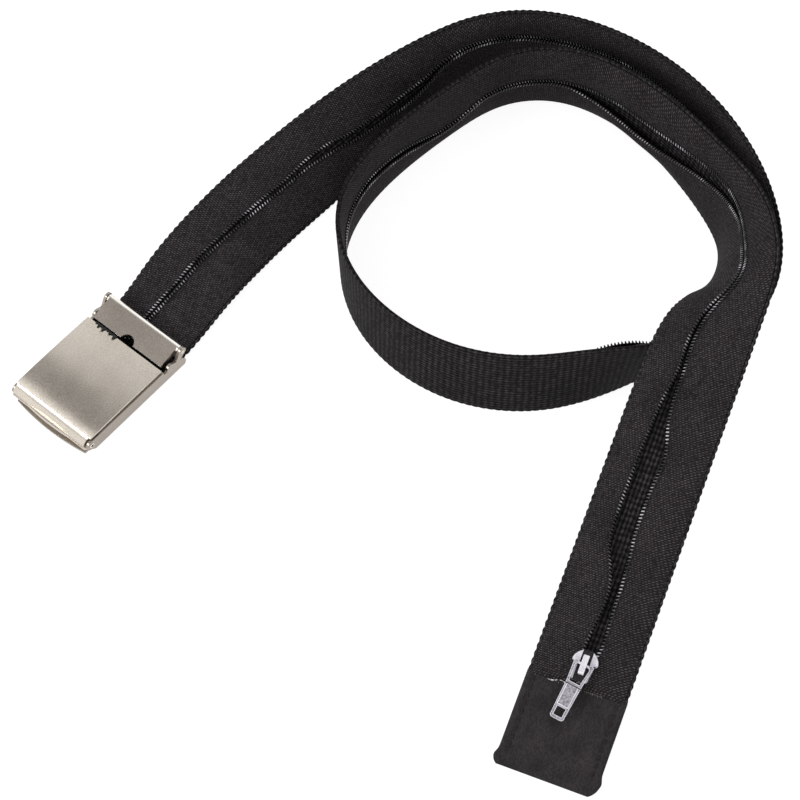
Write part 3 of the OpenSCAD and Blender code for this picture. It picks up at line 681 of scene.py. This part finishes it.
bar = one_stitch("bar_stitches", 1.3, 0.34, turned=0.35)
repeat(bar, (0, bar_gap, 0), bar_count)
mould(bar, sew_bar)
lay(bar)
finish_piece(bar, [bar_thread], "thread", "stop_stitch", smooth=70)

# %% [markdown]
# On one side of the bar a pale end has worked loose. It is a thin tube that the Screw modifier draws out
# straight, 7.4 mm long, and the mould lets it wander, swells it in beads and thins it away at both ends.

# %% Loose thread end
# pale polyester thread, frayed: fuzzy and almost white where its filaments spread
pale_thread, tree, shader = start_material("frayed_pale_thread", Roughness=0.6, Sheen_Weight=0.2)
colour = mottled(tree, (0.35, "#8a8684"), (0.6, "#e2dedb"), per_metre=900.0, detail=3.0)
plug_in(tree, shader, Base_Color=colour)

bpy.ops.object.select_all(action="DESELECT")
thread_l, thread_r = 7.4, 0.25
loose_s, loose_u, loose_h = strap_l - 34.6, -11.2, 1.65
bpy.ops.mesh.primitive_circle_add(vertices=7, radius=thread_r, rotation=(math.pi / 2, 0, 0))
loose = bpy.context.object
loose.name = "loose_thread"
bpy.ops.object.transform_apply(location=True, rotation=True, scale=True)
apply_modifier(loose, "SCREW", axis="Y", angle=0, screw_offset=thread_l, steps=40, render_steps=40)


def wander_off(s, u, h):
    far = u / thread_l
    thin = np.clip(np.minimum(far, 1 - far) * 12, 0.02, 1) * (0.7 + 0.3 * np.sin(31 * far))
    return (loose_s + thin * s + 0.45 * np.sin(6.5 * far + 0.6) - 0.5 * far ** 2,
            loose_u + u, loose_h + 0.3 * far + thin * h + 0.1 * np.sin(11 * far))


mould(loose, wander_off)
point_outwards()
lay(loose)
finish_piece(loose, [pale_thread], "thread", smooth=70)

# %% [markdown]
# The buckle is pressed from steel sheet and nickel plated, then blasted to a satin. Real sheet has slightly
# rounded edges that catch a thin white line, and CAD edges are perfectly sharp. So each metal piece is a copy
# of its CAD node, merged into whole faces and given a small bevel, and the bevel takes the second of the
# piece's
# materials: a pale finish that paints that highlight on.

# %% Rounded copies of the metal pieces
def rounded_copy(node, name, width, materials):
    bpy.ops.object.select_all(action="DESELECT")
    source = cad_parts[node]
    source.select_set(True)
    bpy.context.view_layer.objects.active = source
    bpy.ops.object.duplicate()
    piece = bpy.context.object
    piece.name = name
    for key in list(piece.keys()):
        del piece[key]
    piece.parent = None
    bpy.ops.object.mode_set(mode="EDIT")
    bpy.ops.mesh.select_all(action="SELECT")
    bpy.ops.mesh.remove_doubles(threshold=1e-6)
    bpy.ops.mesh.dissolve_limited(angle_limit=math.radians(0.6))
    bpy.ops.object.mode_set(mode="OBJECT")
    if piece.data.has_custom_normals:
        bpy.ops.mesh.customdata_custom_splitnormals_clear()
    piece.data.materials.clear()
    for material in materials:
        piece.data.materials.append(material)
    apply_modifier(piece, "BEVEL", width=width, segments=3, limit_method="ANGLE", material=1,
                   angle_limit=math.radians(40), use_clamp_overlap=True, harden_normals=False)
    return piece


def finish_metal(piece, materials, slot, *nodes, body="strap"):
    finish_piece(piece, materials, slot, *nodes, body=body, smooth=35, flat_faces=True)


# %% [markdown]
# Satin nickel is a metal, so its colour is the colour of its reflection: a warm grey. Blasting leaves a fine
# even grain, drawn here at 0.5 mm because the real one is too fine to show. On the bevels the same metal is
# painted bright and smoother: a painted highlight.

# %% Satin nickel
def satin_nickel(name, colour, dark, roughness):
    # nickel plate on pressed steel, blasted to a satin: soft reflections with a fine grain and a warm tint
    material, tree, shader = start_material(name, Metallic=1.0)
    place = add_node(tree, "TexCoord").outputs["Object"]
    grit = add_node(tree, "TexNoise", links={"Vector": place},
                    values={"Scale": 2000.0, "Detail": 2.0, "Roughness": 0.6})
    haze = add_node(tree, "TexNoise", links={"Vector": place}, values={"Scale": 60.0, "Detail": 4.0})
    both = add_node(tree, "Mix", data_type="FLOAT", values={"Factor": 0.4},
                    links={"A": grit.outputs["Fac"], "B": haze.outputs["Fac"]}).outputs["Result"]
    tone = add_node(tree, "ValToRGB", links={"Fac": both})
    set_ramp(tone, (0.3, dark), (0.7, colour))
    polish = add_node(tree, "MapRange", links={"Value": both},
                      values={"From Min": 0.3, "From Max": 0.7,
                              "To Min": roughness - 0.04, "To Max": roughness + 0.05})
    raised = add_node(tree, "Bump", values={"Strength": 0.05, "Distance": 0.0002},
                      links={"Height": grit.outputs["Fac"]})
    plug_in(tree, shader, Base_Color=tone.outputs["Color"], Roughness=polish.outputs["Result"],
            Normal=raised.outputs["Normal"])
    return material, tree, raised


# the frame's and the clip's nickel are darker copies of the cover's: painted shade on the upright walls and
# the tilted clip
shaded_nickel_frame = satin_nickel("satin_nickel_frame_painted_shade", "#ada59c", "#948b82", 0.32)[0]
shaded_nickel_clip = satin_nickel("satin_nickel_clip_painted_shade", "#c2b9af", "#a3998f", 0.28)[0]
# painted highlight for the bevelled edges and the rivets
nickel_edge_highlight = satin_nickel("nickel_edge_painted_highlight", "#fbf8f3", "#e6e1d9", 0.2)[0]

# %% [markdown]
# The cover's sheet starts to roll down well before the bend at its hinge, steeper and steeper over the last
# 25 mm. It is too slight to model, and shows only in the reflections, so a bump along the belt's direction
# tilts them. The bend itself and what lies under it have the plain finish, without that bump.

# %% Cover and frame
roll_start, roll_end, roll_power, roll_drop = -0.0025, -0.0275, 3.4, 0.0036
nickel_cover, tree, raised = satin_nickel("satin_nickel_cover", "#ded6cb", "#b8afa3", 0.17)
place = add_node(tree, "TexCoord").outputs["Object"]
parts = add_node(tree, "SeparateXYZ", links={"Vector": place})
near_hinge = add_node(tree, "MapRange", clamp=False, links={"Value": parts.outputs["X"]},
                      values={"From Min": roll_start, "From Max": roll_end, "To Min": 0.0, "To Max": 1.0})
rolled_down = add_node(tree, "Math", operation="POWER", links={0: near_hinge.outputs["Result"]},
                       values={1: roll_power})
fall_off = add_node(tree, "Math", operation="MULTIPLY", links={0: rolled_down.outputs["Value"]},
                    values={1: -roll_drop})
bend = add_node(tree, "Bump", values={"Strength": 1.0, "Distance": 1.0},
                links={"Height": fall_off.outputs["Value"]})
tree.links.new(bend.outputs["Normal"], raised.inputs["Normal"])
nickel_fold = satin_nickel("satin_nickel_fold", "#d2cabf", "#aca397", 0.28)[0]

cover = rounded_copy("flip_cover", "cover_plate", 0.00035, [nickel_cover, nickel_edge_highlight])
fold_top = 0.0075
for face in cover.data.polygons:
    if face.center.z < fold_top:
        face.material_index = 2
finish_metal(cover, [nickel_cover, nickel_edge_highlight, nickel_fold], "cover_nickel", "flip_cover", body="cover")
walls = rounded_copy("buckle_frame", "frame_shell", 0.00025, [shaded_nickel_frame, nickel_edge_highlight])
finish_metal(walls, [shaded_nickel_frame, nickel_edge_highlight], "frame_nickel", "buckle_frame")

# %% [markdown]
# The two hinge pins are hollow rivets, so a dark dimple shows in each of their ends, where the bore lies in
# shade.
# Inset draws a smaller face inside each end face and sinks it, and the sunk face gets a dull dark finish:
# painted shade. The zip's tab needs the same step later, so it is a function.

# %% Hinge pins
# painted shade in the bore of a rivet: dark and dull
rivet_bore_shade, tree, shader = start_material("rivet_bore_painted_shade", Metallic=1.0, Roughness=0.5)
colour = mottled(tree, (0.35, "#1c1a19"), (0.7, "#4a4643"), per_metre=900.0, detail=3.0)
plug_in(tree, shader, Base_Color=colour)


def sink_faces(piece, wanted, rim, depth, single, material_index):
    # the wanted faces keep a rim and sink inside it, with a finish of their own
    bpy.ops.object.mode_set(mode="EDIT")
    bpy.ops.mesh.select_mode(type="FACE")
    bpy.ops.mesh.select_all(action="DESELECT")
    bpy.ops.object.mode_set(mode="OBJECT")
    for face in piece.data.polygons:
        face.select = wanted(face)
    bpy.ops.object.mode_set(mode="EDIT")
    bpy.ops.mesh.inset(thickness=rim, depth=0, use_individual=single)
    bpy.ops.mesh.inset(thickness=0.00003, depth=-depth, use_individual=single)
    bpy.ops.object.mode_set(mode="OBJECT")
    sunk = [face for face in piece.data.polygons if face.select]
    for face in sunk:
        face.material_index = material_index
    print(piece.name, "has", len(sunk), "sunk faces")


rivet_finishes = [nickel_edge_highlight, nickel_edge_highlight, rivet_bore_shade]
for node, name in (("cover_pin", "cover_rod"), ("clip_pin", "clip_rod")):
    rod = rounded_copy(node, name, 0.00014, rivet_finishes)
    sink_faces(rod, lambda face: abs(face.normal.y) > 0.99, rim=0.00022, depth=0.0003, single=True,
               material_index=2)
    finish_metal(rod, rivet_finishes, "pin_steel", node)

# %% [markdown]
# The cover and the clip still need the small things that a drawing leaves out. A narrow lip is folded down
# along both sides of the cover, and all but fills the gap beside the wall. It is a slim box, copied to both
# sides and bevelled. The clip's rolled edge gets the bevels' painted highlight all round, as far as it is
# round.

# %% Cover lips and clip
lip_l, lip_w, lip_h = 35.4, 0.42, 1.1
lip_x, lip_y, lip_z = -4.4, 19.93, 8.85
bpy.ops.object.select_all(action="DESELECT")
bpy.ops.mesh.primitive_cube_add(size=1)
lip = bpy.context.object
lip.name = "cover_side_lips"
mould(lip, lambda x, y, z: (lip_x + lip_l * x, lip_w * y, z))
repeat(lip, (0, 1, 0), 2)
mould(lip, lambda x, y, z: (mm * x, mm * to_both_sides(y, lip_y), mm * (lip_z + lip_h * z)))
apply_modifier(lip, "BEVEL", width=0.00012, segments=2, limit_method="ANGLE", angle_limit=math.radians(40))
finish_metal(lip, [nickel_cover], "cover_nickel", body="cover")

clip = rounded_copy("end_clip", "clip_plate", 0.00025, [shaded_nickel_clip, nickel_edge_highlight])
clip_axis, roll_r = Vector((0.0254, 0, 0.0106)), 0.0019
rolled = 0
for face in clip.data.polygons:
    off = face.center - clip_axis
    if math.hypot(off.x, off.z) < roll_r and abs(face.normal.y) < 0.5:
        face.material_index = 1
        rolled += 1
finish_metal(clip, [shaded_nickel_clip, nickel_edge_highlight], "clip_nickel", "end_clip", body="clip")
print("faces on the rolled edge:", rolled)

# %% [markdown]
# A little of the strap's cut end shows as black yarn that has frayed over the cover's edge, on the side away
# from the camera. One tapered fibre is drawn, Array repeats it along the edge, and the mould gathers the
# fibres into ragged tufts, each with a reach of its own. The yarn is caught on the cover and moves with it.

# %% Frayed yarn
# black polyester yarn, cut and frayed: dull, with paler split ends
frayed_yarn, tree, shader = start_material("frayed_black_yarn", Roughness=0.8, Sheen_Weight=0.05)
colour = mottled(tree, (0.4, "#0d0c0c"), (0.8, "#2c2a2a"), per_metre=800.0, detail=2.0)
plug_in(tree, shader, Base_Color=colour)

bpy.ops.object.select_all(action="DESELECT")
fibre_gap, fibres, fibre_r = 0.13, 88, 0.2
apart = fibre_gap * 10
fray_x, fray_y, fray_z = 13.95, 4.2, 8.9
bpy.ops.mesh.primitive_circle_add(vertices=5, radius=fibre_r)
fray = bpy.context.object
fray.name = "frayed_yarn"
apply_modifier(fray, "SCREW", axis="Z", angle=0, screw_offset=1.0, steps=7, render_steps=7)
repeat(fray, (0, apart, 0), fibres)

tuft_starts = np.array([0, 15, 22, 37, 43, 60, 68, 80, 88])
tuft_reach = np.array([1.0, 0.25, 0.6, 0.3, 0.95, 0.4, 0.75, 0.3])


def fray_out(x, y, z):
    k = np.floor(y / apart + 0.5)
    y = y - k * apart
    thin = 1 - 0.8 * z ** 2
    tuft = np.clip(np.searchsorted(tuft_starts, k, side="right") - 1, 0, len(tuft_reach) - 1)
    middle_fibre = (tuft_starts[tuft] + tuft_starts[tuft + 1]) / 2 + 2.5 * np.sin(2.0 * tuft)
    off = k - middle_fibre
    # fibres of one tuft lean together to a point, and the outer ones are shorter
    reach = tuft_reach[tuft] * (1 - 0.05 * np.abs(off)) + 0.18 * np.sin(2.3 * k) * np.sin(5.1 * k)
    reach = np.maximum(0.15, reach)
    over = np.clip(z - 0.35, 0, 1) / 0.65
    climb = 1.15 * np.sin(math.pi / 2 * np.clip(z / 0.5, 0, 1))
    return (mm * (fray_x + thin * x + 0.15 * np.sin(3.7 * k) - 2.3 * reach * over ** 1.2),
            mm * (fray_y + fibre_gap * (k - 0.75 * over * off) + thin * y + 0.25 * over * np.sin(1.9 * k)),
            mm * (fray_z + climb + 0.14 * np.sin(4.3 * k) * over + thin * 0.6 * x))


mould(fray, fray_out)
point_outwards()
finish_piece(fray, [frayed_yarn], "webbing", body="cover", smooth=70)

# %% [markdown]
# The zip's slider and tab are die-cast zinc, tumbled bright and lacquered: paler and cooler than the buckle.
# The lacquer scatters some light, so the shader is less than fully metallic. The tab's grip is cast rough so
# that fingers hold it. Between the wings, where the crown and the lock spring shade the plate, that shade is
# painted on.

# %% Bright zinc
def bright_zinc(name, colour, dark, per_metre, metal=0.25):
    # die-cast zinc, barrel polished and lacquered: pale, cool and fairly sharp, dark in the casting's pits
    material, tree, shader = start_material(name, Metallic=metal, Roughness=0.3)
    place = add_node(tree, "TexCoord").outputs["Object"]
    pits = add_node(tree, "TexNoise", links={"Vector": place},
                    values={"Scale": per_metre, "Detail": 4.0, "Roughness": 0.65})
    tone = add_node(tree, "ValToRGB", links={"Fac": pits.outputs["Fac"]})
    set_ramp(tone, (0.35, dark), (0.6, colour))
    raised = add_node(tree, "Bump", values={"Strength": 0.15, "Distance": 0.0002},
                      links={"Height": pits.outputs["Fac"]})
    plug_in(tree, shader, Base_Color=tone.outputs["Color"], Normal=raised.outputs["Normal"])
    return material


zinc = bright_zinc("die_cast_zinc", "#f2f0f6", "#dcd9e3", 500.0)
# painted highlight for the bevelled edges of the slider and the tab
zinc_edge_highlight = bright_zinc("zinc_edge_painted_highlight", "#fbfafd", "#e8e6ec", 500.0)
grip_zinc = bright_zinc("die_cast_zinc_tab", "#bfbbc4", "#6f6b74", 1300.0)
# painted shade for the channels between the wings, the lock spring's leaf and the line across the tab
painted_shade_zinc = bright_zinc("zinc_painted_shade", "#2e2c2f", "#161516", 900.0, metal=0.2)

# %% [markdown]
# The shaded places are cut with boxes that carry a finish of painted shade. The Boolean modifier hands a
# cutter's material on to the faces that it cuts, so a groove is made and its shade painted at once. The boxes
# stand in the slider's own axes: along the zip, across it, and out of the cloth. The tab's axes are the
# slider's, raised to the tab's bar and turned as the tab lies.

# %% Axes of the slider and the tab
lay_gap, run_gap, plate_t, spring_t, bar_r = 0.05, 0.3, 1.0, 0.3, 0.5
tab_turn, tab_lie = -8, -5
zip_dir = Vector(-along[-1])
out_dir = Vector(outward[-1])
side_dir = out_dir.cross(zip_dir)
tape_mid = web_t / 2 + lay_gap + pouch + tape_t / 2
slider_spot = Vector(middle[-1] * mm) + mm * (slider_at * zip_dir + tape_mid * out_dir)
slider_axes = Matrix.Translation(slider_spot) @ Matrix((zip_dir, side_dir, out_dir)).transposed().to_4x4()
plate_top = 0.65 * coil_h + run_gap + plate_t
bar_z = plate_top + spring_t + 0.2 + run_gap + bar_r
tab_axes = (slider_axes @ Matrix.Translation((0, 0, mm * bar_z))
            @ Matrix.Rotation(math.radians(tab_turn), 4, "Z")
            @ Matrix.Rotation(math.radians(tab_lie), 4, "Y"))


def cut_painted_shade(piece, axes, low, high):
    bpy.ops.object.select_all(action="DESELECT")
    bpy.ops.mesh.primitive_cube_add(size=1)
    cutter = bpy.context.object
    mould(cutter, lambda x, y, z: tuple(mm * ((a + b) / 2 + (b - a) * v)
                                        for a, b, v in zip(low, high, (x, y, z))))
    cutter.data.transform(axes)
    cutter.data.materials.append(painted_shade_zinc)
    bpy.ops.object.select_all(action="DESELECT")
    bpy.context.view_layer.objects.active = piece
    apply_modifier(piece, "BOOLEAN", operation="DIFFERENCE", solver="EXACT", object=cutter,
                   material_mode="TRANSFER")
    bpy.data.objects.remove(cutter)


print("slider stands at", [round(1000 * v, 1) for v in slider_spot], "mm")

# %% [markdown]
# Three grooves are cut into the slider's top plate and painted with shade: one along its front half, a wider
# one along its back half, and a narrow one across. The bridge over the tab's bar and the leaf of the lock
# spring need no cuts.

# %% Slider
above, deep, shallow = plate_top + 1, plate_top - 0.55, plate_top - 0.45
shell = rounded_copy("slider_body", "slider_shell", 0.00022, [zinc, zinc_edge_highlight])
cut_painted_shade(shell, slider_axes, (0.2, -2.0, deep), (7, 2.0, above))
cut_painted_shade(shell, slider_axes, (-7, -2.45, deep), (0.7, 2.45, above))
cut_painted_shade(shell, slider_axes, (0.25, -5, shallow), (0.85, 5, above))
finish_metal(shell, list(shell.data.materials), "slider_metal", "slider_body", body="slider")
bridge = rounded_copy("slider_crown", "slider_bridge", 0.0002, [zinc, zinc_edge_highlight])
finish_metal(bridge, [zinc, zinc_edge_highlight], "slider_metal", "slider_crown", body="slider")
# the lock spring's leaf lies in the crown's shade, which is painted on it too
leaf = rounded_copy("lock_spring", "slider_leaf", 0.00006, [painted_shade_zinc, painted_shade_zinc])
finish_metal(leaf, [painted_shade_zinc], "spring_steel", "lock_spring", body="slider")

# %% [markdown]
# The tab's upper face has a grip that is sunk by 0.1 mm inside a bright rim, and one dark line of painted
# shade across it. The faces near the bar stay as they are, because the slider's bridge runs close to them.

# %% Pull tab
bar_end = -0.0015
tab = rounded_copy("pull_tab", "tab_plate", 0.0002, [zinc, zinc_edge_highlight, grip_zinc])
tab_up = tab_axes.to_3x3() @ Vector((0, 0, 1))
to_tab = tab_axes.inverted()
sink_faces(tab, lambda face: face.normal.dot(tab_up) > 0.99 and (to_tab @ face.center).x < bar_end,
           rim=0.00018, depth=0.0001, single=False, material_index=2)
cut_painted_shade(tab, tab_axes, (-8.75, -3.3, 0.3), (-8.35, 3.3, 2))
finish_metal(tab, list(tab.data.materials), "tab_metal", "pull_tab", body="tab")

# %% [markdown]
# The stage is a plain pale floor. A cut-out product picture has a white ground, so the floor adds some white
# of its own for rays from the camera and for reflections, and takes the rest from the lamps. That keeps a
# soft shadow under the belt.

# %% Floor
bpy.ops.object.select_all(action="DESELECT")
bpy.ops.mesh.primitive_plane_add(size=8, location=(0, 0, 0))
floor = bpy.context.object
floor.name = "floor"
floor_grey, floor_glow, white = (0.3, 0.3, 0.3, 1), 0.86, (1, 1, 1, 1)
paper, tree, shader = start_material("white_paper", Base_Color=floor_grey, Roughness=1.0,
                                     Specular_IOR_Level=0.0, Emission_Color=white)
ray = add_node(tree, "LightPath")
seen = add_node(tree, "Math", operation="MAXIMUM",
                links={0: ray.outputs["Is Camera Ray"], 1: ray.outputs["Is Glossy Ray"]})
glow = add_node(tree, "Math", operation="MULTIPLY", links={0: seen.outputs["Value"]}, values={1: floor_glow})
plug_in(tree, shader, Emission_Strength=glow.outputs["Value"])
floor.data.materials.append(paper)
print("floor is", [round(v, 2) for v in floor.dimensions], "m")

# %% [markdown]
# The light is soft and comes from all round, from a wide ring of sky that ends about 60 degrees up. The sky
# above it is darker. The buckle's cover mirrors just that border, which puts a slow gradient on its slight
# roll. A small panel on the left gives the teeth and edges their glints.

# %% Sky and soft panel
world = bpy.data.worlds.new("studio")
bpy.context.scene.world = world
world.use_nodes = True
sky = world.node_tree.nodes["Background"]
way = add_node(world.node_tree, "TexCoord")
height = add_node(world.node_tree, "SeparateXYZ", links={"Vector": way.outputs["Generated"]})
shade = add_node(world.node_tree, "ValToRGB", links={"Fac": height.outputs["Z"]})
set_ramp(shade, (0.0, "#e0e0e0"), (0.5, "#ffffff"), (0.79, "#ffffff"), (0.83, "#e4e4e4"),
         (0.857, "#aaaaaa"), (0.885, "#9a9a9a"), (1.0, "#9a9a9a"))
plug_in(world.node_tree, sky, Color=shade.outputs["Color"])
sky.inputs["Strength"].default_value = 1.2

panel_place, panel_aim = Vector((-0.75, 0.35, 0.65)), Vector((0.1, -0.1, 0))
panel_size, panel_watts = 0.35, 4.0
bpy.ops.object.light_add(type="AREA", location=panel_place)
panel = bpy.context.object
panel.name = "panel_left"
panel.data.shape = "SQUARE"
panel.data.size = panel_size
panel.data.energy = panel_watts
panel.rotation_euler = (panel_aim - panel_place).to_track_quat("-Z", "Y").to_euler()
print("panel of", panel_watts, "W at", [round(v, 2) for v in panel_place])

# %% [markdown]
# The camera looks down from 59 degrees above level, over the corner between the buckle and the tip, through
# a lens long enough to keep the strap's width nearly even. The picture is square.

# %% Camera
camera_place, camera_aim = Vector((-0.2804, -0.3905, 0.7586)), Vector((0.0688, -0.0974, 0))
bpy.ops.object.camera_add(location=camera_place)
camera = bpy.context.object
camera.data.lens = 100
camera.data.sensor_width = 36
camera.rotation_euler = (camera_aim - camera.location).to_track_quat("-Z", "Y").to_euler()
bpy.context.scene.camera = camera
bpy.context.scene.view_settings.view_transform = "Standard"
print("camera is", round((camera_aim - camera_place).length, 3), "m away")
